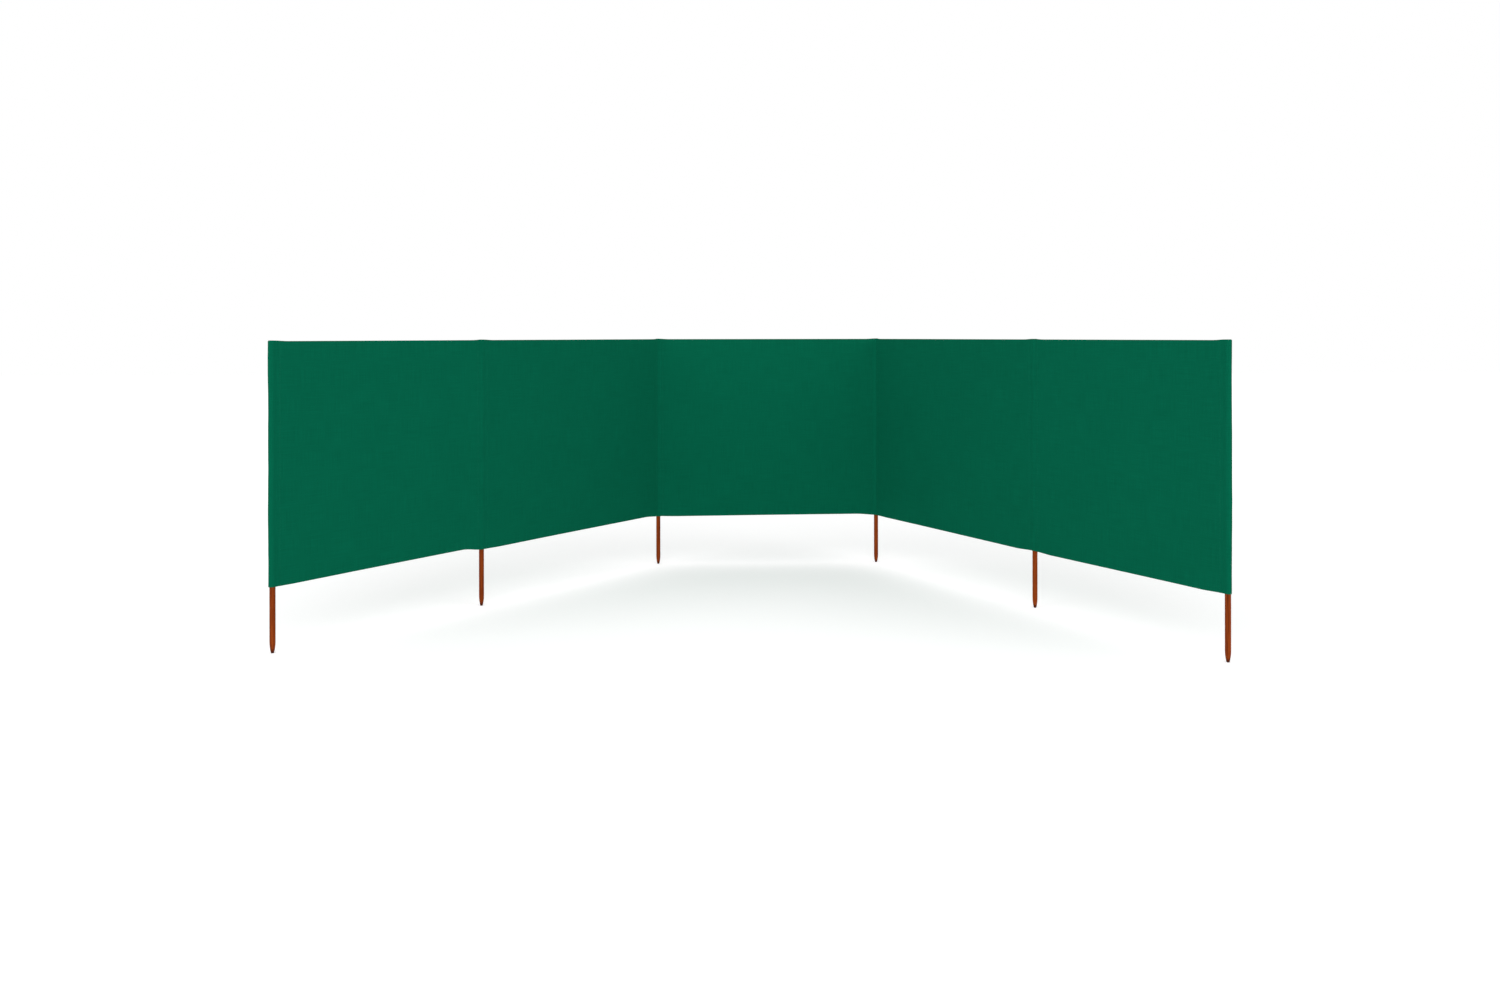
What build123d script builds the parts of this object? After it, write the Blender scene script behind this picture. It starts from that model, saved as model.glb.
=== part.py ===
"""Five-bay fabric windbreak.

Six round wooden poles stand with their pointed ends in the ground. A strip of cloth runs along
the sheltered side of the poles, hemmed at its top and bottom. A pocket is sewn to its back behind
each inner pole, and at both ends of the row the strip itself is turned round the pole and sewn
down, so that every pole stands in a sleeve that is closed over its top and open below. Three inner
bays are wider than the two end bays, and the row is bent into a shelter at two poles.
Lengths in millimetres, +Z up, origin on the tip of the first pole, +X along the middle bay.
"""

import os
from math import acos, atan2, cos, degrees, hypot, radians, sin

from build123d import *

# Row of poles, in plan. Headings are in degrees from +X, one for each bay.
INNER_BAY = 1170.0
END_BAY = 975.0
BAY_LENGTHS = (END_BAY, INNER_BAY, INNER_BAY, INNER_BAY, END_BAY)
BAY_HEADINGS = (48.5, 50.0, 0.0, -61.0, -60.5)

# Poles
POLE_LENGTH = 1200.0
POLE_DIAMETER = 22.0
POLE_TOP_CHAMFER = 2.0
TIP_LENGTH = 45.0
TIP_FLAT_DIAMETER = 11.0

# Cloth
CLOTH_THICKNESS = 0.8
SLEEVE_CLEARANCE = 0.4
SLEEVE_END_HEIGHT = 255.0
SEAM_STANDOFF = 9.0
SEAM_WIDTH = 10.0
SEAM_ROUND = 3.0
HEM_WIDTH = 22.0
HEM_LAYERS = 2

# What the pieces share. Insets are measured from the line of the poles towards the sheltered side.
POLE_RADIUS = POLE_DIAMETER / 2
BACK_INSET = POLE_RADIUS + SLEEVE_CLEARANCE
FRONT_INSET = BACK_INSET + CLOTH_THICKNESS
SEAM_INSET = BACK_INSET - CLOTH_THICKNESS / 2
WRAP_RADIUS = BACK_INSET + CLOTH_THICKNESS / 2
SEAM_ROOT = BACK_INSET + SEAM_STANDOFF
SEAM_EDGE = SEAM_ROOT + SEAM_WIDTH
SLEEVE_ROOF = POLE_LENGTH + SLEEVE_CLEARANCE
CLOTH_TOP = SLEEVE_ROOF + CLOTH_THICKNESS
CLOTH_HEIGHT = CLOTH_TOP - SLEEVE_END_HEIGHT

# Angles in degrees. The touch angle, from the bay's heading, is where the cloth that rises from a
# seam meets the round of the pole.
QUARTER_TURN = 90
FULL_TURN = 360
TOUCH_ANGLE = degrees(acos(WRAP_RADIUS / hypot(SEAM_ROOT, SEAM_INSET)) - atan2(SEAM_INSET, SEAM_ROOT))


def plan_vector(heading):
    """Unit vector of a heading in plan."""
    return Vector(cos(radians(heading)), sin(radians(heading)))


def pole_places():
    """Plan place of each pole's centre, walking the row bay by bay."""
    places = [Vector(0, 0)]
    for length, heading in zip(BAY_LENGTHS, BAY_HEADINGS):
        places.append(places[-1] + plan_vector(heading) * length)
    return places


POLE_PLACES = pole_places()


def headings_beside(index):
    """Headings of the bay that ends at a pole and of the bay that starts there, as lists."""
    return BAY_HEADINGS[max(index - 1, 0):index], BAY_HEADINGS[index:index + 1]


def mitre(index, inset):
    """Plan offset from a pole's centre to the cloth at that inset, on the mitre between its bays."""
    ending, starting = headings_beside(index)
    outward = [plan_vector(heading + QUARTER_TURN) for heading in ending + starting]
    return (outward[0] + outward[-1]) * (-inset / (1 + outward[0].dot(outward[-1])))


def pole():
    """Round pole: bullet-shaped tip with a blunt flat, straight shaft, chamfered top."""
    tip_flat = TIP_FLAT_DIAMETER / 2
    outline = [
        Line((0, 0), (tip_flat, 0)),
        TangentArc((POLE_RADIUS, TIP_LENGTH), (tip_flat, 0), tangent=(0, -1)),
        Polyline(
            (POLE_RADIUS, TIP_LENGTH),
            (POLE_RADIUS, POLE_LENGTH - POLE_TOP_CHAMFER),
            (POLE_RADIUS - POLE_TOP_CHAMFER, POLE_LENGTH),
            (0, POLE_LENGTH),
            (0, 0),
        ),
    ]
    return revolve(Plane.XZ * make_face(outline), Axis.Z)


def panel(index):
    """Cloth of one bay, running on into the next bay's at each pole."""
    ends = (index, index + 1)
    front = [POLE_PLACES[end] + mitre(end, FRONT_INSET) for end in ends]
    back = [POLE_PLACES[end] + mitre(end, BACK_INSET) for end in ends]
    plan = make_face(Polyline(*front, *reversed(back), close=True))
    return extrude(Pos(0, 0, SLEEVE_END_HEIGHT) * plan, CLOTH_HEIGHT)


def hem(index, base):
    """Edge folded to the panel's outer face, from one sleeve's seam to the next."""
    strip = Box(
        BAY_LENGTHS[index] - 2 * SEAM_EDGE,
        HEM_LAYERS * CLOTH_THICKNESS,
        HEM_WIDTH,
        align=(Align.MIN, Align.MIN, Align.MIN),
    )
    along_bay = Pos(POLE_PLACES[index]) * Rot(0, 0, BAY_HEADINGS[index])
    return along_bay * Pos(SEAM_EDGE, -BACK_INSET, base) * strip


def seam(heading, side):
    """Plan line from a sleeve's sewn edge to the round of the pole, towards the bay at that heading.
    Side is 1 where the outer side lies to the left of the heading and -1 where it lies to the right."""
    along = plan_vector(heading)
    inward = plan_vector(heading - side * QUARTER_TURN) * SEAM_INSET
    touch = plan_vector(heading + side * TOUCH_ANGLE) * WRAP_RADIUS
    return FilletPolyline(along * SEAM_EDGE + inward, along * SEAM_ROOT + inward, touch, radius=SEAM_ROUND)


def pocket_lines(back, ahead):
    """Plan lines of a pocket sewn behind an inner pole: its round and its two seams."""
    start = back - TOUCH_ANGLE
    sweep = (start - ahead - TOUCH_ANGLE) % FULL_TURN
    round_line = CenterArc((0, 0), WRAP_RADIUS, start, -sweep)
    return round_line, [seam(back, -1), seam(ahead, 1)]


def turned_end_lines(heading, side):
    """Plan lines of the strip's end, turned round an end pole: its round and its one seam."""
    start = heading - side * QUARTER_TURN
    sweep = FULL_TURN - QUARTER_TURN - TOUCH_ANGLE
    round_line = CenterArc((0, 0), WRAP_RADIUS, start, -side * sweep)
    return round_line, [seam(heading, side)]


def seam_root(heading, side):
    """Plan point on the panel's back where a sleeve leaves it."""
    return plan_vector(heading) * SEAM_ROOT + plan_vector(heading - side * QUARTER_TURN) * BACK_INSET


def sleeve(index):
    """Cloth tube that holds a pole, sewn to the panels beside it and roofed over the pole's top."""
    ending, starting = headings_beside(index)
    sides = [(heading + 2 * QUARTER_TURN, -1) for heading in ending] + [(heading, 1) for heading in starting]
    if len(sides) == 2:
        round_line, seams = pocket_lines(sides[0][0], sides[1][0])
    else:
        round_line, seams = turned_end_lines(*sides[0])
    roots = [seam_root(*side) for side in sides]
    front = Polyline(round_line @ 1, roots[-1], mitre(index, BACK_INSET), *roots[:-1], round_line @ 0)
    wall = extrude(trace([round_line, *seams], CLOTH_THICKNESS), CLOTH_HEIGHT)
    roof = extrude(make_face([round_line, front]), CLOTH_THICKNESS)
    return Pos(POLE_PLACES[index]) * (Pos(0, 0, SLEEVE_END_HEIGHT) * wall + Pos(0, 0, SLEEVE_ROOF) * roof)


def windbreak():
    """Every piece by name, numbered along the row."""
    pieces = {}
    for index, place in enumerate(POLE_PLACES):
        pieces[f"pole_{index + 1}"] = Pos(place) * pole()
        pieces[f"sleeve_{index + 1}"] = sleeve(index)
    for index in range(len(BAY_LENGTHS)):
        pieces[f"panel_{index + 1}"] = panel(index)
        pieces[f"top_hem_{index + 1}"] = hem(index, CLOTH_TOP - HEM_WIDTH)
        pieces[f"bottom_hem_{index + 1}"] = hem(index, SLEEVE_END_HEIGHT)
    return pieces


os.makedirs("parts", exist_ok=True)
for piece_name, piece_shape in windbreak().items():
    export_step(piece_shape, f"parts/{piece_name}.step")
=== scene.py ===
"""Looks of the fabric windbreak: sewn cloth, stitching, stained poles, studio and camera.

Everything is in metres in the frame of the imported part: origin on the tip of the first pole, +X along
the middle bay, +Y to the outer side, +Z up. The cloth is one strip along the sheltered side of the
poles. Each bay of it has two coordinates, s along the bay from pole to pole and z up, and one class
places every panel, hem, sleeve and stitch by them, so that they lie on each other.
"""

from math import acos, atan2, cos, hypot, pi, radians, sin, tan

import bmesh
import bpy
import numpy as np
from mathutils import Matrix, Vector, noise


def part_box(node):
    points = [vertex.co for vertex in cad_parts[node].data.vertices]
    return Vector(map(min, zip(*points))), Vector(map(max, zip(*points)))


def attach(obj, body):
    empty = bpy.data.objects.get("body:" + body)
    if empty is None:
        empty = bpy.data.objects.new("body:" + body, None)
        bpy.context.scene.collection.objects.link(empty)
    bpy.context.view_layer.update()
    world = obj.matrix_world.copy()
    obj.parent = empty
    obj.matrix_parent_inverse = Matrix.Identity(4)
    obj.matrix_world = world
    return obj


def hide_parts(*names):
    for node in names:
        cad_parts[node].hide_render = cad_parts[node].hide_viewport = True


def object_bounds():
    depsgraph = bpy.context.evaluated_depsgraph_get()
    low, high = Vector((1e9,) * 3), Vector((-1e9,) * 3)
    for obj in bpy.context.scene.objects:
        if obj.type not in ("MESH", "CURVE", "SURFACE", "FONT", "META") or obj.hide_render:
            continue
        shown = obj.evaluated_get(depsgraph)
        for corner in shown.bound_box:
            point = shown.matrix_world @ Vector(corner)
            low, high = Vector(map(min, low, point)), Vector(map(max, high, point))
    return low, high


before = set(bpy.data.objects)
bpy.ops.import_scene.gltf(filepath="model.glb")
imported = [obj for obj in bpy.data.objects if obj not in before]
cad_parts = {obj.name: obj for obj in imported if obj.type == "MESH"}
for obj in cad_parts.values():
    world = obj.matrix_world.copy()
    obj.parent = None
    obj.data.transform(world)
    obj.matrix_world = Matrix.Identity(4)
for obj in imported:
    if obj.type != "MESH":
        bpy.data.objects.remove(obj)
cad_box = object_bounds()

# Sizes read from the frame
POLE_COUNT = 6
BAY_COUNT = POLE_COUNT - 1
POLES = np.array([sum(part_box(f"pole_{i + 1}"), Vector()) / 2 for i in range(POLE_COUNT)])[:, :2]
POLE_LOW, POLE_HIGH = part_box("pole_1")
POLE_RADIUS = (POLE_HIGH.x - POLE_LOW.x) / 2
POLE_LENGTH = POLE_HIGH.z
PANEL_LOW, PANEL_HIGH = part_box("panel_3")
HEM_LOW, HEM_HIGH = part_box("top_hem_3")
MIDDLE_BAY_START = POLES[2]
THICKNESS = PANEL_HIGH.y - PANEL_LOW.y
HALF_THICKNESS = THICKNESS / 2
PANEL_INSET = MIDDLE_BAY_START[1] - (PANEL_LOW.y + PANEL_HIGH.y) / 2
SLEEVE_END = PANEL_LOW.z
CLOTH_TOP = PANEL_HIGH.z
CLOTH_HEIGHT = CLOTH_TOP - SLEEVE_END
CLOTH_MIDDLE = (SLEEVE_END + CLOTH_TOP) / 2
HEM_WIDTH = HEM_HIGH.z - HEM_LOW.z
SEAM_EDGE = HEM_LOW.x - MIDDLE_BAY_START[0]
CAD_MIDDLE = (cad_box[0] + cad_box[1]) / 2

# Poles. The point's rings crowd towards its blunt end.
POINT_LENGTH = 0.045
POINT_END_RADIUS = 0.0055
POINT_EDGE_ROUND = 0.0007
POINT_RINGS = 25
POINT_RING_CROWDING = 1.3
POINT_EDGE_RINGS = 6
POLE_TOP_CHAMFER = 0.002
SHAFT_RINGS = 24
POLE_SIDES = 64

# Cloth grids
PANEL_STEP = 0.009
OVER_POLE_COLUMNS = 11
SHARP_ANGLE = radians(40)
WELD_DISTANCE = 1e-6

# Hems. The panel's edge climbs into the hem's fold within the step.
HEM_LAYERS = 2
HEM_FOLD = (HEM_LAYERS + 1) * HALF_THICKNESS
HEM_FOLD_POINTS = 9
HEM_STEP = 0.0003

# Sleeves and their seams
SEAM_LAYERS = 1
SEAM_WIDTH = 0.010
SEAM_ROOT = SEAM_EDGE - SEAM_WIDTH
SEAM_ROUND = 0.003
SLOPE_POINTS = 5
BEND_POINTS = 7
FLAP_POINTS = 4
POCKET_HALF_STEPS = 12
END_OUTER_POINTS = 37
END_FIRST_STEP_SHARE = 0.04
END_INNER_POINTS = 9
SLEEVE_LEVELS = 130
SLEEVE_TOP_ROUND = 0.004
SLEEVE_TOP_RINGS = 6
ROUND_TAPER = 0.12
ROUND_TAPER_START = 0.05
NO_TURN = 1e-6

# Slack of each sleeve, and how uneven it is: a mean share, then shares of broad and fine waves with
# their numbers per metre of height and per turn round the pole
SLEEVE_SLACK = (0.0045, 0.0025, 0.0025, 0.0025, 0.0025, 0.0035)
SLACK_MEAN = 0.7
SLACK_BROAD = 0.4
SLACK_BROAD_WAVES = (4.5, 1.5)
SLACK_FINE = 0.12
SLACK_FINE_WAVES = (21, 3)
SLACK_FINE_SEED = 0.5

# Stitching. A grain of thread is its two ends and four points round its middle.
INNER_FACE = -1
STITCH_PITCH = 0.0042
STITCH_LENGTH = 0.0034
STITCH_INSET = 0.0025
THREAD_RADIUS = 0.0003
SEAM_ROW_POINTS = 100
GRAIN_FACES = ((0, 3, 2), (1, 2, 3), (0, 4, 3), (1, 3, 4), (0, 5, 4), (1, 4, 5), (0, 2, 5), (1, 5, 2))

# Lie of the stretched cloth. The hem's lifts are its heights over the sleeves' ends towards the first
# and the last pole of each bay.
HEM_LIFTS = (
    (-0.002, 0.0145),
    (-0.0024, 0.0076),
    (-0.0022, 0.0062),
    (-0.0015, -0.006),
    (-0.0045, -0.0045),
)
HEM_DIP_RUN = 0.11
TOP_RISE = 0.002
TOP_DROP = 0.0025
TOP_DROP_RUN = 0.060
EASE = 0.0016
EASE_RUN = 0.014
HELD_RUN = 0.040
BOW = 0.004
BROAD_WAVE = 0.0012
BROAD_WAVES_PER_METRE = (3.2, 1.6)
CORNER_CREASE = 0.0007
CREASE_REACH = 0.22
CREASES_PER_RADIAN = 5.5
CREASE_WAVES_PER_METRE = 1.5
CREASE_CORNER_SPACING = 3
PUCKER = 0.0003
PUCKERS_PER_METRE = 42
HEM_PUCKER_REACH = 0.018
SEAM_PUCKER_REACH = 0.015
SEED_SPACING = 7.31


def smooth_step(x):
    """0 to 1, level at both ends."""
    x = np.clip(x, 0, 1)
    return x * x * (3 - 2 * x)


def waves(x, y, seed):
    """Smooth noise from about -1 to 1 over two coordinates."""
    return np.array([noise.noise((a, b, SEED_SPACING * seed)) for a, b in zip(x, y)])


def running_length(line):
    """Length along a line of points, from 0 at the first."""
    return np.concatenate([[0], np.cumsum(np.linalg.norm(np.diff(line, axis=0), axis=1))])


def half_turns():
    """Half the turn of the row at each pole, positive to the outer side and next to nothing at the ends."""
    steps = np.diff(POLES, axis=0)
    headings = np.unwrap(np.arctan2(steps[:, 1], steps[:, 0]))
    return np.concatenate([[NO_TURN], np.diff(headings) / 2, [NO_TURN]])


HALF_TURNS = half_turns()


class Bay:
    """One bay of the strip. s runs from 0 at its first pole to its length at its last, and start is the
    length of the strip before it."""

    def __init__(self, index):
        self.index = index
        self.seed = index + 1
        step = POLES[index + 1] - POLES[index]
        self.length = np.linalg.norm(step)
        self.start = running_length(POLES)[index]
        self.along = step / self.length
        self.outward = np.array([-self.along[1], self.along[0]])

    def from_pole(self, s):
        """Distance to the nearer pole."""
        return np.minimum(s, self.length - s).clip(0)

    def plan(self, s):
        """Middle line of the cloth in plan with its outward normals: straight from seam to seam, and
        part of an arc in front of each pole where the row turns."""
        straight = np.clip(s, SEAM_ROOT, self.length - SEAM_ROOT)
        points = POLES[self.index] + np.outer(straight, self.along) - PANEL_INSET * self.outward
        normals = np.outer(np.ones_like(s), self.outward)
        for side, half_turn in zip((-1, 1), HALF_TURNS[self.index:]):
            angle = half_turn * np.clip(side * (s - straight) / SEAM_ROOT, 0, 1)
            radius = SEAM_ROOT / tan(half_turn) + PANEL_INSET
            points += np.outer(side * radius * np.sin(angle), self.along)
            points += np.outer(radius * (1 - np.cos(angle)), self.outward)
            normals += np.outer(np.cos(angle) - 1, self.outward)
            normals -= np.outer(side * np.sin(angle), self.along)
        return points, normals

    def hem_line(self, s):
        """Height of the lower edge, drawn to the sleeves' ends at the poles."""
        first, last = HEM_LIFTS[self.index]
        lift = first + (last - first) * np.clip(s / self.length, 0, 1)
        return SLEEVE_END + lift * smooth_step(self.from_pole(s) / HEM_DIP_RUN)

    def top_line(self, s):
        """Height of the upper edge: the seam over a pole's top stands up, and the cloth is lower between
        the poles."""
        return CLOTH_TOP + TOP_RISE - TOP_DROP * smooth_step(self.from_pole(s) / TOP_DROP_RUN)

    def creases(self, s, z):
        """Faint fans of tension folds out of the bay's corners."""
        total = np.zeros_like(s)
        corners = [(end, edge) for end in (0, self.length) for edge in (SLEEVE_END, CLOTH_TOP)]
        for number, (corner_s, corner_z) in enumerate(corners):
            reach = np.hypot(s - corner_s, z - corner_z)
            angle = np.arctan2(np.abs(z - corner_z), np.abs(s - corner_s))
            place = reach * CREASE_WAVES_PER_METRE + CREASE_CORNER_SPACING * number
            total += np.exp(-reach / CREASE_REACH) * waves(angle * CREASES_PER_RADIAN, place, self.seed)
        return CORNER_CREASE * total

    def depth(self, s, z):
        """How far the cloth lies outside its flat place: eased back from the poles and uneven between
        them."""
        from_pole = self.from_pole(s)
        from_hem = np.minimum(z - self.hem_line(s), self.top_line(s) - z).clip(0)
        share = np.clip(s / self.length, 0, 1)
        easing = smooth_step(from_pole / EASE_RUN)
        bow = BOW * 4 * share * (1 - share)
        broad = BROAD_WAVE * waves(s * BROAD_WAVES_PER_METRE[0], z * BROAD_WAVES_PER_METRE[1], self.seed)
        hem_pucker = PUCKER * np.exp(-from_hem / HEM_PUCKER_REACH)
        hem_pucker *= waves(s * PUCKERS_PER_METRE, np.sign(z - CLOTH_MIDDLE), self.seed)
        seam_pucker = PUCKER * np.exp(-np.abs(from_pole - SEAM_EDGE) / SEAM_PUCKER_REACH)
        seam_pucker *= waves(z * PUCKERS_PER_METRE, np.sign(share - 0.5), self.seed) * easing
        held = smooth_step((from_pole - SEAM_EDGE) / HELD_RUN)
        return EASE * easing + held * (bow + broad + self.creases(s, z) + hem_pucker) + seam_pucker

    def points(self, s, z, out=0.0):
        """Places on the cloth, moved out of its middle surface by out."""
        s, z = np.broadcast_arrays(np.asarray(s, float), np.asarray(z, float))
        plan, normals = self.plan(s)
        return np.column_stack([plan + normals * (self.depth(s, z) + out)[:, None], z])

    def between(self, inset):
        """Values of s for the cloth between the sleeves, from an inset after one pole to the same inset
        before the next."""
        return np.linspace(inset, self.length - inset, round(self.length / PANEL_STEP))

    def columns(self):
        """Values of s for the whole panel, closer together over the poles."""
        over_pole = np.linspace(0, SEAM_EDGE, OVER_POLE_COLUMNS)
        hemmed = self.between(SEAM_EDGE + HEM_STEP)
        return np.concatenate([over_pole, hemmed, self.length - over_pole[::-1]])


BAYS = [Bay(i) for i in range(BAY_COUNT)]


def grid_faces(rows, columns):
    """Quads of a grid of points stored row by row."""
    corner = np.arange(rows - 1)[:, None] * columns + np.arange(columns - 1)[None, :]
    return np.stack([corner, corner + 1, corner + columns + 1, corner + columns], -1).reshape(-1, 4)


def tube_faces(rings, sides):
    """Quads of a tube of points stored ring by ring, and the faces that close its two ends."""
    side = np.arange(sides)
    near = np.arange(rings - 1)[:, None] * sides + side
    beside = np.roll(near, -1, axis=1)
    walls = np.stack([near, beside, beside + sides, near + sides], -1).reshape(-1, 4)
    return walls.tolist() + [side[::-1].tolist(), ((rings - 1) * sides + side).tolist()]


def add_object(name, data):
    """New object in the scene."""
    thing = bpy.data.objects.new(name, data)
    bpy.context.scene.collection.objects.link(thing)
    return thing


def make_mesh(name, points, faces, material, corner_uv=None):
    """Smooth-shaded mesh object riding on the part, with optional cloth coordinates for the corners of
    its faces."""
    mesh = bpy.data.meshes.new(name)
    mesh.from_pydata(np.asarray(points).tolist(), [], [[int(i) for i in face] for face in faces])
    mesh.polygons.foreach_set("use_smooth", [True] * len(mesh.polygons))
    if corner_uv is not None:
        layer = mesh.uv_layers.new(name="cloth")
        layer.uv.foreach_set("vector", np.asarray(corner_uv, np.float32).ravel())
    mesh.materials.append(material)
    mesh.update()
    piece = add_object(name, mesh)
    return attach(piece, "root")


def weld(piece):
    """Joins the points of a sheet that lie on each other."""
    sheet = bmesh.new()
    sheet.from_mesh(piece.data)
    bmesh.ops.remove_doubles(sheet, verts=sheet.verts, dist=WELD_DISTANCE)
    sheet.to_mesh(piece.data)
    sheet.free()


def thicken(piece):
    """Gives a sheet the cloth's thickness, half to each side, with crisp cut edges."""
    solid = piece.modifiers.new("thickness", "SOLIDIFY")
    solid.thickness = THICKNESS
    solid.offset = 0
    solid.use_even_offset = True
    drawn = piece.evaluated_get(bpy.context.evaluated_depsgraph_get())
    piece.data = bpy.data.meshes.new_from_object(drawn)
    piece.modifiers.clear()
    piece.data.set_sharp_from_angle(angle=SHARP_ANGLE)
    return piece


def pole_outline():
    """Radii and heights up a pole: blunt end with a softened edge, bullet-shaped point, shaft and
    chamfered top."""
    taper = POLE_RADIUS - POINT_END_RADIUS
    bullet_radius = (POINT_LENGTH ** 2 + taper ** 2) / (2 * taper)
    heights = POINT_LENGTH * np.linspace(0, 1, POINT_RINGS)[1:] ** POINT_RING_CROWDING
    radii = POLE_RADIUS - bullet_radius + np.sqrt(bullet_radius ** 2 - (POINT_LENGTH - heights) ** 2)
    edge = [
        (POINT_END_RADIUS - POINT_EDGE_ROUND * (1 - sin(angle)), POINT_EDGE_ROUND * (1 - cos(angle)))
        for angle in np.linspace(0, pi / 2, POINT_EDGE_RINGS)[:-1]
    ]
    point = [(radius, height) for radius, height in zip(radii, heights) if height > POINT_EDGE_ROUND]
    shaft_heights = np.linspace(POINT_LENGTH, POLE_LENGTH - POLE_TOP_CHAMFER, SHAFT_RINGS)[1:]
    shaft = [(POLE_RADIUS, height) for height in shaft_heights]
    return edge + point + shaft + [(POLE_RADIUS - POLE_TOP_CHAMFER, POLE_LENGTH)]


def pole(index, material):
    """Round stained pole."""
    outline = pole_outline()
    angles = np.linspace(0, 2 * pi, POLE_SIDES, endpoint=False)
    circle = np.stack([np.cos(angles), np.sin(angles)], 1)
    rings = [
        np.column_stack([POLES[index] + circle * radius, np.full(POLE_SIDES, height)])
        for radius, height in outline
    ]
    faces = tube_faces(len(outline), POLE_SIDES)
    name = f"pole_wood_{index + 1}"
    piece = make_mesh(name, np.concatenate(rings), faces, material)
    piece.data.set_sharp_from_angle(angle=SHARP_ANGLE)
    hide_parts(f"pole_{index + 1}")


def panel(bay, material):
    """Stretched cloth of one bay, from the front of one pole to the front of the next. Between the
    sleeves it ends where the hems' folds begin."""
    columns = bay.columns()
    rows = round(CLOTH_HEIGHT / PANEL_STEP) + 1
    share = np.linspace(0, 1, rows)[:, None]
    in_hem = np.where(bay.from_pole(columns) > SEAM_EDGE + HEM_STEP / 2, HEM_FOLD, 0)
    bottom = bay.hem_line(columns) + in_hem
    top = bay.top_line(columns) - in_hem
    s = np.tile(columns, rows)
    z = (bottom * (1 - share) + top * share).ravel()
    faces = grid_faces(rows, len(columns))
    uv = np.stack([bay.start + s, z], 1)
    piece = make_mesh(f"panel_cloth_{bay.index + 1}", bay.points(s, z), faces, material, uv[faces])
    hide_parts(f"panel_{bay.index + 1}")
    return thicken(piece)


def hem(bay, top, material):
    """Edge of the cloth turned to the outer face: a round fold under the panel and a flat double layer
    behind it. Its outline is places out of the cloth and away from the edge."""
    face = HALF_THICKNESS
    back = face + HEM_LAYERS * THICKNESS
    middle = (back - face) / 2
    turn = np.linspace(0, pi, HEM_FOLD_POINTS)
    outline = [(middle - HEM_FOLD * cos(angle), HEM_FOLD - HEM_FOLD * sin(angle)) for angle in turn]
    outline += [(back, HEM_WIDTH / 2), (back, HEM_WIDTH - face), (back - face, HEM_WIDTH)]
    outline += [(face, HEM_WIDTH), (face, HEM_WIDTH / 2), (face, HEM_FOLD)]
    s = bay.between(SEAM_EDGE)
    edge, sign = (bay.top_line(s), -1) if top else (bay.hem_line(s), 1)
    sections = [(out, edge + sign * height) for out, height in outline]
    points = np.stack([bay.points(s, z, out) for out, z in sections], 1).reshape(-1, 3)
    uv = np.stack([np.stack([bay.start + s, z], 1) for out, z in sections], 1).reshape(-1, 2)
    faces = tube_faces(len(s), len(outline))
    kind = "top_hem" if top else "bottom_hem"
    name = f"{kind}_cloth_{bay.index + 1}"
    piece = make_mesh(name, points, faces, material, uv[np.concatenate(faces)])
    piece.data.set_sharp_from_angle(angle=SHARP_ANGLE)
    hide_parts(f"{kind}_{bay.index + 1}")
    return piece


class Seam:
    """One side of a sleeve, from the round of its pole down to the back of a bay's panel and along it.
    Side is -1 at the bay's first pole and 1 at its last. Its profile is places along the bay from the
    pole and outward."""

    def __init__(self, bay, side):
        self.bay = bay
        self.side = side
        self.pole = POLES[bay.index + (side + 1) // 2]
        self.into_bay = -side * bay.along
        lift = THICKNESS + EASE - PANEL_INSET
        self.touch = acos(PANEL_INSET / hypot(SEAM_ROOT, lift)) + atan2(lift, SEAM_ROOT)
        heading = atan2(self.into_bay[1], self.into_bay[0])
        self.touch_heading = heading - side * self.touch
        self.front_heading = heading + side * pi / 2
        self.profile = self.make_profile(lift)

    def make_profile(self, lift):
        """Slope from the pole's round, rounded bend and flat sewn flap, which lies outward by lift."""
        touch = PANEL_INSET * np.array([cos(self.touch), sin(self.touch)])
        root = np.array([SEAM_ROOT, lift])
        edge = np.array([SEAM_EDGE, lift])
        rise = (touch - root) / np.linalg.norm(touch - root)
        above = root + rise * SEAM_ROUND
        beyond = root + np.array([SEAM_ROUND, 0])
        t = np.linspace(0, 1, BEND_POINTS)[:, None]
        slope = touch + (above - touch) * np.linspace(0, 1, SLOPE_POINTS)[:-1, None]
        bend = above * (1 - t) ** 2 + root * 2 * t * (1 - t) + beyond * t ** 2
        flap = beyond + (edge - beyond) * np.linspace(0, 1, FLAP_POINTS)[1:, None]
        return np.concatenate([slope, bend, flap])

    def line(self):
        """Plan points from the pole's round to the sewn edge."""
        along, out = self.profile.T
        return self.pole + np.outer(along, self.into_bay) + np.outer(out, self.bay.outward)

    def place(self, from_pole):
        """s of a distance from the pole."""
        return from_pole if self.side < 0 else self.bay.length - from_pole

    def feet(self, from_pole):
        """Plan points on the back of the panel."""
        plan, normals = self.bay.plan(self.place(from_pole))
        return plan + normals * (EASE * smooth_step(from_pole / EASE_RUN) + HALF_THICKNESS)[:, None]

    def edges(self, from_pole):
        """Heights of the sleeve's lower and upper edge."""
        s = self.place(from_pole)
        return np.stack([self.bay.hem_line(s), self.bay.top_line(s) - HALF_THICKNESS], 1)


def pole_round(pole, start, sweep, shares):
    """Plan points round a pole, at shares of the sweep."""
    angles = start + sweep * shares
    return pole + PANEL_INSET * np.stack([np.cos(angles), np.sin(angles)], 1)


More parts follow.
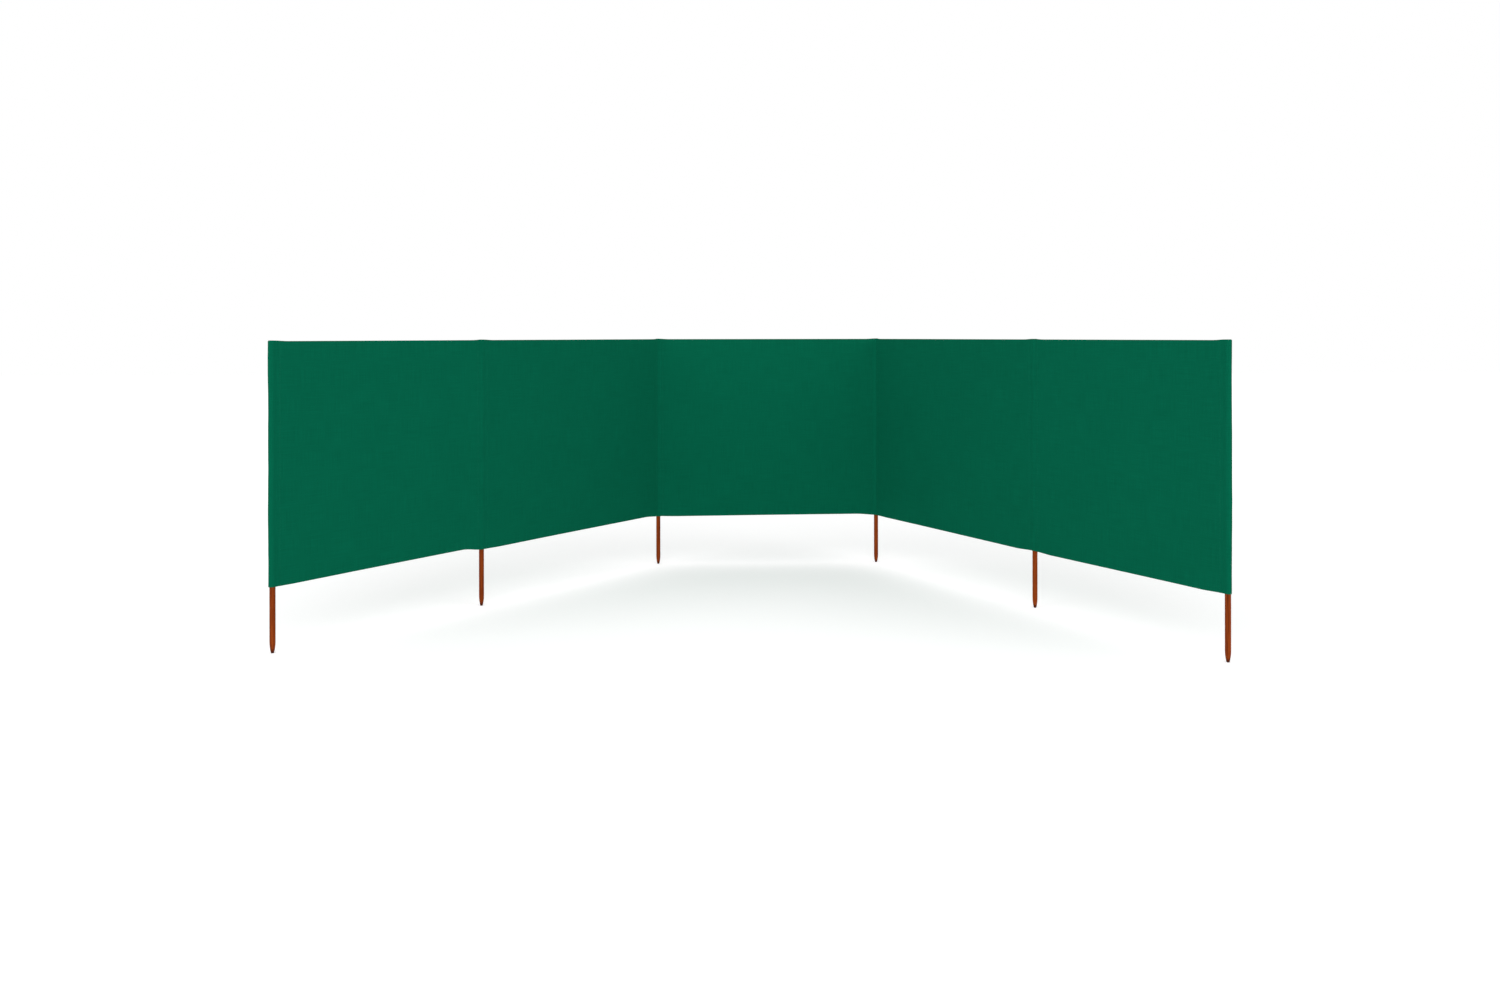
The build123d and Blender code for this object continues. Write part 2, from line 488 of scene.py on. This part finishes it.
def pocket(index):
    """Plan line of a pocket behind an inner pole, the feet of its roof on the panels, its edges' heights,
    and the share of the way round the pole, 0 and 1 on the seams."""
    back, ahead = Seam(BAYS[index - 1], 1), Seam(BAYS[index], -1)
    sweep = (back.touch_heading - ahead.touch_heading) % (2 * pi)
    shares = np.linspace(0, 1, 2 * POCKET_HALF_STEPS + 1)
    around = pole_round(POLES[index], back.touch_heading, -sweep, shares)
    near = back.profile[0, 0] * np.linspace(1, 0, POCKET_HALF_STEPS + 1)
    sides = [
        (back, back.profile[::-1, 0]),
        (back, near[1:]),
        (ahead, near[-2::-1]),
        (ahead, ahead.profile[1:, 0]),
    ]
    line = np.concatenate([back.line()[::-1], around[1:], ahead.line()[1:]])
    feet = np.concatenate([seam.feet(distance) for seam, distance in sides])
    edges = np.concatenate([seam.edges(distance) for seam, distance in sides])
    turn = np.concatenate([np.zeros(len(back.profile)), shares[1:], np.ones(len(ahead.profile) - 1)])
    return line, feet, edges, turn


def turned_end(index):
    """The same for the strip's end, turned round the first or the last pole. Its first step is short, so
    that the cloth runs on from the panel without a break."""
    seam = Seam(BAYS[0], -1) if index == 0 else Seam(BAYS[-1], 1)
    steps = np.linspace(0, 1, END_OUTER_POINTS)
    outer_shares = np.insert(steps, 1, steps[1] * END_FIRST_STEP_SHARE)
    inner_shares = np.linspace(0, 1, END_INNER_POINTS)[1:]
    inner_sweep = pi / 2 - seam.touch
    back_heading = seam.front_heading + seam.side * pi
    outer_half = pole_round(POLES[index], seam.front_heading, seam.side * pi, outer_shares)
    inner_part = pole_round(POLES[index], back_heading, seam.side * inner_sweep, inner_shares)
    inner_distance = (inner_part - POLES[index]) @ seam.into_bay
    outer_count = len(outer_half)
    line = np.concatenate([outer_half, inner_part, seam.line()[1:]])
    distance = np.concatenate([np.zeros(outer_count), inner_distance, seam.profile[1:, 0]]).clip(0)
    feet = seam.feet(distance)
    feet[:outer_count - 1] = POLES[index]
    angles = np.concatenate([pi * outer_shares, pi + inner_sweep * inner_shares])
    turn = np.concatenate([angles / angles[-1], np.ones(len(line) - len(angles))])
    return line, feet, seam.edges(distance), turn


def cloth_run(index, line):
    """Lengths along a sleeve's line. A turned end's run on from the strip's own."""
    run = running_length(line)
    if index == 0:
        return -run
    if index == BAY_COUNT:
        return BAYS[-1].start + BAYS[-1].length + run
    return run


def sleeve(index, material):
    """Cloth round a pole: a slack upright wall, a rounded roof over the pole's top and an open lower
    end. It comes with its width, which is its length round the pole at half its height."""
    sewn_on = 0 < index < BAY_COUNT
    line, feet, edges, turn = pocket(index) if sewn_on else turned_end(index)
    low, crown = edges.T
    reach = np.linalg.norm(feet - line, axis=1)
    inward = (feet - line) / reach[:, None]
    from_pole = (line - POLES[index]) / np.linalg.norm(line - POLES[index], axis=1)[:, None]
    rounding = 1 if sewn_on else smooth_step(turn / ROUND_TAPER + ROUND_TAPER_START)
    radius = np.minimum(SLEEVE_TOP_ROUND * rounding, reach / 2)

    def slackened(z):
        """The plan line with the slack that the cloth has at that height."""
        broad = waves(z * SLACK_BROAD_WAVES[0], turn * SLACK_BROAD_WAVES[1], index)
        fine = waves(z * SLACK_FINE_WAVES[0], turn * SLACK_FINE_WAVES[1], index + SLACK_FINE_SEED)
        uneven = SLACK_MEAN + SLACK_BROAD * broad + SLACK_FINE * fine
        return line + from_pole * (SLEEVE_SLACK[index] * np.sin(pi * turn) ** 2 * uneven)[:, None]

    levels = [low + (crown - radius - low) * level for level in np.linspace(0, 1, SLEEVE_LEVELS)]
    rows = [(slackened(z), z) for z in levels]
    shoulder = rows[-1][0]
    for angle in np.linspace(0, pi / 2, SLEEVE_TOP_RINGS)[1:]:
        plan = shoulder + inward * (radius * (1 - cos(angle)))[:, None]
        rows.append((plan, crown - radius * (1 - sin(angle))))
    rows.append((feet, crown))
    points = np.concatenate([np.column_stack([plan, z]) for plan, z in rows])
    faces = grid_faces(len(rows), len(line))
    run = cloth_run(index, line)
    uv = np.concatenate([np.stack([run, z], 1) for plan, z in rows])[faces]
    bay = BAYS[min(index, BAY_COUNT - 1)]
    roof = slice(1 - len(line), None)
    uv[roof] = points[faces[roof], :2] @ np.stack([bay.along, bay.outward], 1)
    piece = make_mesh(f"sleeve_cloth_{index + 1}", points, faces, material, uv)
    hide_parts(f"sleeve_{index + 1}")
    weld(piece)
    half_way = rows[len(levels) // 2][0]
    return thicken(piece), running_length(half_way)[-1]


def stitches(name, rows, material):
    """Thread along rows of (points, normals), as short grains lying on the cloth."""
    grains = []
    for line, normals in rows:
        run = running_length(line)
        starts = np.arange(STITCH_PITCH / 2, run[-1] - STITCH_LENGTH, STITCH_PITCH)
        first, last, normal = (
            np.stack([np.interp(starts + shift, run, values[:, k]) for k in range(3)], 1)
            for shift, values in ((0, line), (STITCH_LENGTH, line), (STITCH_LENGTH / 2, normals))
        )
        along = (last - first) / np.linalg.norm(last - first, axis=1)[:, None]
        across = np.cross(normal, along) * THREAD_RADIUS
        rise = normal * THREAD_RADIUS
        middle = (first + last) / 2
        around = [middle + across, middle + rise, middle - across, middle - rise]
        grains.append(np.stack([first, last, *around], 1))
    points = np.concatenate(grains)
    base = np.arange(len(points))[:, None] * points.shape[1]
    faces = np.concatenate([base + face for face in GRAIN_FACES])
    return make_mesh(name, points.reshape(-1, 3), faces, material)


def on_cloth(bay, s, z, layers):
    """A row on the cloth with its normals, on the outer face of the layers sewn to the panel's back, or
    on the panel's inner face."""
    out = -HALF_THICKNESS if layers == INNER_FACE else HALF_THICKNESS + layers * THICKNESS
    s, z = np.broadcast_arrays(np.asarray(s, float), np.asarray(z, float))
    normals = bay.plan(s)[1] * np.sign(layers)
    return bay.points(s, z, out), np.column_stack([normals, np.zeros(len(s))])


def hem_stitches(bay, material):
    """Rows that hold both hems, on the inner and the outer face."""
    s = bay.between(SEAM_EDGE)
    top = bay.top_line(s) - HEM_WIDTH + STITCH_INSET
    bottom = bay.hem_line(s) + HEM_WIDTH - STITCH_INSET
    rows = [on_cloth(bay, s, z, layers) for z in (top, bottom) for layers in (INNER_FACE, HEM_LAYERS)]
    return stitches(f"hem_stitching_{bay.index + 1}", rows, material)


def seam_stitches(index, material):
    """Double rows that hold the sewn edges of a sleeve, on the inner and the outer face."""
    heights = np.linspace(SLEEVE_END + STITCH_INSET, CLOTH_TOP - 2 * STITCH_INSET, SEAM_ROW_POINTS)
    rows = []
    for bay in BAYS[max(index - 1, 0):index + 1]:
        for distance in (SEAM_ROOT + SEAM_ROUND, SEAM_EDGE - STITCH_INSET):
            s = distance if bay.index == index else bay.length - distance
            rows += [on_cloth(bay, s, heights, layers) for layers in (INNER_FACE, SEAM_LAYERS)]
    return stitches(f"sleeve_stitching_{index + 1}", rows, material)


def srgb(red, green, blue):
    """Linear colour from 0 to 255 screen values."""
    def linear(c):
        c = c / 255
        return c / 12.92 if c <= 0.04045 else ((c + 0.055) / 1.055) ** 2.4
    return linear(red), linear(green), linear(blue), 1.0


WHITE = (1, 1, 1, 1)
BLACK = (0, 0, 0, 1)

# Materials. Tones are (place on the ramp, colour), bumps are (strength, distance) and scales are
# numbers of features per metre.
CLOTH_TONES = ((0.38, srgb(2, 86, 62)), (0.5, srgb(3, 91, 66)), (0.62, srgb(4, 96, 70)))
CLOTH_ROUGHNESS = 0.92
CLOTH_GLOSS = 0.02
WEAVE_PITCH = 0.0009
WEAVE_BUMP = (0.35, 0.00025)
WARP_SCALE = (420, 9, 1)
WEFT_SCALE = (9, 420, 1)
YARN_BUMP = (0.25, 0.0004)
YARN_SHARE = 0.9
MOTTLE_SCALE = 5.0
MOTTLE_DETAIL = 4.0
MOTTLE_SHARE = 0.1

THREAD_TONES = ((0.3, srgb(8, 98, 72)), (0.7, srgb(26, 126, 97)))
THREAD_ROUGHNESS = 0.7
THREAD_GLOSS = 0.1
TWIST_SCALE = 2600.0
TWIST_DETAIL = 2.0
TWIST_BUMP = (0.4, 0.0001)

WOOD_TONES = ((0.3, srgb(94, 34, 6)), (0.5, srgb(130, 54, 11)), (0.72, srgb(154, 70, 18)))
WOOD_ROUGHNESS = (0.50, 0.66)
WOOD_GLOSS = 0.06
GRAIN_SCALE = (260, 260, 9)
GRAIN_DETAIL = 5.0
GRAIN_FINE_SHARE = 0.6
GRAIN_RANGE = (0.3, 0.7)
GRAIN_BUMP = (0.3, 0.0006)
PORE_COLOUR = srgb(78, 27, 7)
PORE_SCALE = (1300, 1300, 40)
PORE_DETAIL = 2.0
PORE_LEVEL = 0.62
PORE_SHARE = 0.35
PORE_BUMP = (0.25, 0.0003)
POLE_TINTS = ((0.35, srgb(215, 200, 195)), (0.65, srgb(255, 255, 255)))
POLE_TINT_SCALE = (1.7, 1.7, 0.4)
POLE_TINT_DETAIL = 1.0
POLE_TINT_SHARE = 0.5
# Darker towards the pole's point: partly stain soaked into the cut end grain, partly painted shade on the
# point's downward-facing sides.
END_STAIN_AND_SHADE_COLOUR = srgb(52, 17, 8)
END_STAIN_AND_SHADE_HEIGHTS = (0.024, 0.010)
END_STAIN_AND_SHADE_SHARES = (0.0, 0.85)
END_STAIN_AND_SHADE_RAGGED = 0.010


class Nodes:
    """Short ways to add and join shader nodes of one material."""

    def __init__(self, name):
        self.material = bpy.data.materials.new(name)
        self.material.use_nodes = True
        self.tree = self.material.node_tree
        self.shader = self.tree.nodes["Principled BSDF"]

    def set(self, **values):
        """Values of the shader's own sockets."""
        for key, value in values.items():
            self.shader.inputs[key.replace("_", " ")].default_value = value

    def feed(self, socket, source):
        """Joins a source to a socket of the shader."""
        self.join(source, self.shader.inputs[socket])

    def add(self, kind, **settings):
        """New node with its settings, each a property or a socket."""
        node = self.tree.nodes.new(f"ShaderNode{kind}")
        for key, value in settings.items():
            if hasattr(node, key):
                setattr(node, key, value)
            else:
                node.inputs[key.replace("_", " ")].default_value = value
        return node

    def join(self, source, target):
        """Links an output to an input."""
        self.tree.links.new(source, target)

    def give(self, value, socket):
        """Sets a socket to a plain value or links it to an output."""
        if isinstance(value, (int, float, tuple)):
            socket.default_value = value
        else:
            self.join(value, socket)

    def axes(self, vector):
        """The three outputs of a vector."""
        node = self.add("SeparateXYZ")
        self.join(vector, node.inputs[0])
        return node.outputs

    def math(self, operation, *values):
        """Result of one operation on one or two values."""
        node = self.add("Math", operation=operation)
        for value, socket in zip(values, node.inputs):
            self.give(value, socket)
        return node.outputs[0]

    def noise(self, vector, scale=1.0, detail=3.0, fine_share=0.55):
        """Smooth noise from 0 to 1, with finer noise on it."""
        node = self.add("TexNoise", Scale=scale, Detail=detail, Roughness=fine_share)
        self.join(vector, node.inputs["Vector"])
        return node.outputs["Fac"]

    def stretched(self, vector, scale):
        """Coordinates multiplied axis by axis."""
        node = self.add("Mapping", Scale=scale)
        self.join(vector, node.inputs["Vector"])
        return node.outputs["Vector"]

    def ranged(self, value, start, end, **settings):
        """Value carried from one range to another."""
        node = self.add("MapRange", From_Min=start[0], From_Max=start[1], **settings)
        node.inputs["To Min"].default_value, node.inputs["To Max"].default_value = end
        self.join(value, node.inputs["Value"])
        return node.outputs[0]

    def between(self, factor, tones):
        """Colour on a ramp of tones."""
        node = self.add("ValToRGB")
        ramp = node.color_ramp
        while len(ramp.elements) < len(tones):
            ramp.elements.new(0.5)
        for element, (place, colour) in zip(ramp.elements, tones):
            element.position = place
            element.color = colour
        self.join(factor, node.inputs["Fac"])
        return node.outputs["Color"]

    def mixed(self, factor, first, second, blend_type="MIX"):
        """Colour mixed from two."""
        node = self.add("Mix", data_type="RGBA", blend_type=blend_type)
        for value, number in ((factor, 0), (first, 6), (second, 7)):
            self.give(value, node.inputs[number])
        return node.outputs[2]

    def bump(self, height, strength, distance, below=None):
        """Relief of a height, over the relief below it."""
        node = self.add("Bump", Strength=strength, Distance=distance)
        self.join(height, node.inputs["Height"])
        if below:
            self.join(below, node.inputs["Normal"])
        return node.outputs["Normal"]


def cloth_material():
    """Plain-woven canvas: over-and-under threads, uneven yarn and a slight mottle."""
    n = Nodes("woven_cloth")
    uv = n.add("UVMap", uv_map="cloth").outputs["UV"]
    axes = n.axes(uv)
    turns = [n.math("MULTIPLY", axes[name], pi / WEAVE_PITCH) for name in ("X", "Y")]
    ridges = [n.math("ABSOLUTE", n.math("SINE", turn)) for turn in turns]
    over = n.add("TexChecker", Scale=1 / WEAVE_PITCH, Color1=WHITE, Color2=BLACK)
    n.join(uv, over.inputs["Vector"])
    weave = n.mixed(over.outputs["Color"], *ridges)
    warp = n.noise(n.stretched(uv, WARP_SCALE))
    weft = n.noise(n.stretched(uv, WEFT_SCALE))
    yarn = n.math("MULTIPLY", n.math("ADD", warp, weft), 0.5)
    mottle = n.noise(n.add("TexCoord").outputs["Object"], MOTTLE_SCALE, MOTTLE_DETAIL)
    yarn_tone = n.math("MULTIPLY", yarn, YARN_SHARE)
    tone = n.math("ADD", yarn_tone, n.math("MULTIPLY", mottle, MOTTLE_SHARE))
    n.feed("Base Color", n.between(tone, CLOTH_TONES))
    n.feed("Normal", n.bump(yarn, *YARN_BUMP, below=n.bump(weave, *WEAVE_BUMP)))
    n.set(Roughness=CLOTH_ROUGHNESS, Specular_IOR_Level=CLOTH_GLOSS)
    return n.material


def thread_material():
    """Twisted sewing thread, a shade off the cloth."""
    n = Nodes("sewing_thread")
    twist = n.noise(n.add("TexCoord").outputs["Object"], TWIST_SCALE, TWIST_DETAIL)
    n.feed("Base Color", n.between(twist, THREAD_TONES))
    n.feed("Normal", n.bump(twist, *TWIST_BUMP))
    n.set(Roughness=THREAD_ROUGHNESS, Specular_IOR_Level=THREAD_GLOSS)
    return n.material


def wood_material():
    """Softwood dowel under a reddish-brown stain: long grain, a tone for each pole, and a point darkened
    partly by stain soaked into its end grain and partly by painted shade.
    """
    n = Nodes("stained_wood")
    place = n.add("TexCoord").outputs["Object"]
    grain = n.noise(n.stretched(place, GRAIN_SCALE), detail=GRAIN_DETAIL, fine_share=GRAIN_FINE_SHARE)
    pores = n.noise(n.stretched(place, PORE_SCALE), detail=PORE_DETAIL)
    pole_tone = n.noise(n.stretched(place, POLE_TINT_SCALE), detail=POLE_TINT_DETAIL)
    tint = n.between(pole_tone, POLE_TINTS)
    colour = n.mixed(POLE_TINT_SHARE, n.between(grain, WOOD_TONES), tint, "MULTIPLY")
    in_pore = n.math("MULTIPLY", n.math("GREATER_THAN", pores, PORE_LEVEL), PORE_SHARE)
    colour = n.mixed(in_pore, colour, PORE_COLOUR)
    # Darkens the pole's point with a ragged edge: partly stain in the end grain, partly painted shade on
    # the downward-facing sides.
    ragged = n.math("ADD", n.axes(place)["Z"], n.math("MULTIPLY", grain, END_STAIN_AND_SHADE_RAGGED))
    colour = n.mixed(n.ranged(ragged, END_STAIN_AND_SHADE_HEIGHTS, END_STAIN_AND_SHADE_SHARES), colour, END_STAIN_AND_SHADE_COLOUR)
    n.feed("Base Color", colour)
    n.feed("Roughness", n.ranged(grain, GRAIN_RANGE, WOOD_ROUGHNESS))
    n.feed("Normal", n.bump(pores, *PORE_BUMP, below=n.bump(grain, *GRAIN_BUMP)))
    n.set(Specular_IOR_Level=WOOD_GLOSS)
    return n.material


# Studio. The floor's glow grows with the distance from the object, so that it is plain white far away.
FLOOR_SIZE = 60.0
FLOOR_DROP = 0.0005
FLOOR_COLOUR = (0.9, 0.9, 0.9, 1)
FLOOR_ROUGHNESS = 0.9
FLOOR_GLOSS = 0.0
FLOOR_GLOWS = (0.22, 0.36)
FLOOR_GLOW_REACH = (2.5, 6.0)
SKY_LIGHT = 0.81
SKY_WHITE = 1.0
LAMP_SIZE = 8.0
LAMPS = (
    (Vector((0.6, -13.0, 6.5)), 500.0),
    (Vector((11.8, -6.0, 6.0)), 300.0),
    (Vector((-7.8, -6.0, 6.0)), 300.0),
)

# Camera. Angles are in degrees.
PHOTO_WIDTH = 1500.0
PHOTO_HEIGHT = 1000.0
FOCAL_PIXELS = 1110.3
HORIZON_PIXEL = 335.23
SENSOR_WIDTH = 36.0
CAMERA_PLACE = Vector((1.7094, -4.3296, 1.2210))
CAMERA_LEVEL = 90
CAMERA_ROLL = 0.073
CAMERA_YAW = -1.742


def seen_rays(tree):
    """1 for what the camera sees, straight or in gloss or glass, and 0 for the light on the object."""
    path = tree.nodes.new("ShaderNodeLightPath")
    seen = path.outputs["Is Camera Ray"]
    for kind in ("Is Glossy Ray", "Is Transmission Ray"):
        either = tree.nodes.new("ShaderNodeMath")
        either.operation = "MAXIMUM"
        tree.links.new(seen, either.inputs[0])
        tree.links.new(path.outputs[kind], either.inputs[1])
        seen = either.outputs[0]
    return seen


def floor_material():
    """White floor, which keeps the object's soft shadow and is one with the sky far away."""
    n = Nodes("white_floor")
    away = n.add("VectorMath", operation="DISTANCE")
    n.join(n.add("TexCoord").outputs["Object"], away.inputs[0])
    away.inputs[1].default_value = (CAD_MIDDLE.x, CAD_MIDDLE.y, 0)
    distance = away.outputs["Value"]
    glow = n.ranged(distance, FLOOR_GLOW_REACH, FLOOR_GLOWS, interpolation_type="SMOOTHSTEP")
    n.feed("Emission Strength", n.math("MULTIPLY", seen_rays(n.tree), glow))
    n.set(Base_Color=FLOOR_COLOUR, Emission_Color=WHITE)
    n.set(Roughness=FLOOR_ROUGHNESS, Specular_IOR_Level=FLOOR_GLOSS)
    return n.material


def floor():
    """Plain floor under the poles' ends."""
    half = FLOOR_SIZE / 2
    corners = [(x, y, -FLOOR_DROP) for x, y in ((-half, -half), (half, -half), (half, half), (-half, half))]
    mesh = bpy.data.meshes.new("floor")
    mesh.from_pydata(corners, [], [(0, 1, 2, 3)])
    mesh.materials.append(floor_material())
    add_object("floor", mesh)


def sky():
    """Even white surround: plain light on the object, plain white behind it."""
    world = bpy.data.worlds.new("studio")
    bpy.context.scene.world = world
    world.use_nodes = True
    tree = world.node_tree
    shade = tree.nodes["Background"]
    shade.inputs["Color"].default_value = WHITE
    level = tree.nodes.new("ShaderNodeMapRange")
    level.inputs["To Min"].default_value = SKY_LIGHT
    level.inputs["To Max"].default_value = SKY_WHITE
    tree.links.new(seen_rays(tree), level.inputs["Value"])
    tree.links.new(level.outputs[0], shade.inputs["Strength"])


def lamps():
    """Large soft lamps far off, ahead and to both sides, so that all the bays get about the same light."""
    for place, power in LAMPS:
        light = bpy.data.lights.new("lamp", "AREA")
        light.energy = power
        light.size = LAMP_SIZE
        holder = add_object("lamp", light)
        holder.location = place
        holder.rotation_euler = (CAD_MIDDLE - place).to_track_quat("-Z", "Y").to_euler()


def camera():
    """Level camera on the sheltered side, with the photograph's horizon kept by a vertical shift."""
    lens = bpy.data.cameras.new("camera")
    lens.sensor_width = SENSOR_WIDTH
    lens.lens = SENSOR_WIDTH * FOCAL_PIXELS / PHOTO_WIDTH
    lens.shift_y = (HORIZON_PIXEL - PHOTO_HEIGHT / 2) / PHOTO_WIDTH
    holder = add_object("camera", lens)
    holder.location = CAMERA_PLACE
    holder.rotation_euler = [radians(angle) for angle in (CAMERA_LEVEL, CAMERA_ROLL, CAMERA_YAW)]
    bpy.context.scene.camera = holder


def dress():
    """Cloth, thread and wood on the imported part."""
    cloth, thread, wood = cloth_material(), thread_material(), wood_material()
    for index in range(POLE_COUNT):
        pole(index, wood)
        cover, width = sleeve(index, cloth)
        trim = [seam_stitches(index, thread)]
    for bay in BAYS:
        sheet = panel(bay, cloth)
        trim = [hem(bay, True, cloth), hem(bay, False, cloth), hem_stitches(bay, thread)]


bpy.context.scene.view_settings.view_transform = "Standard"
dress()
floor()
sky()
lamps()
camera()
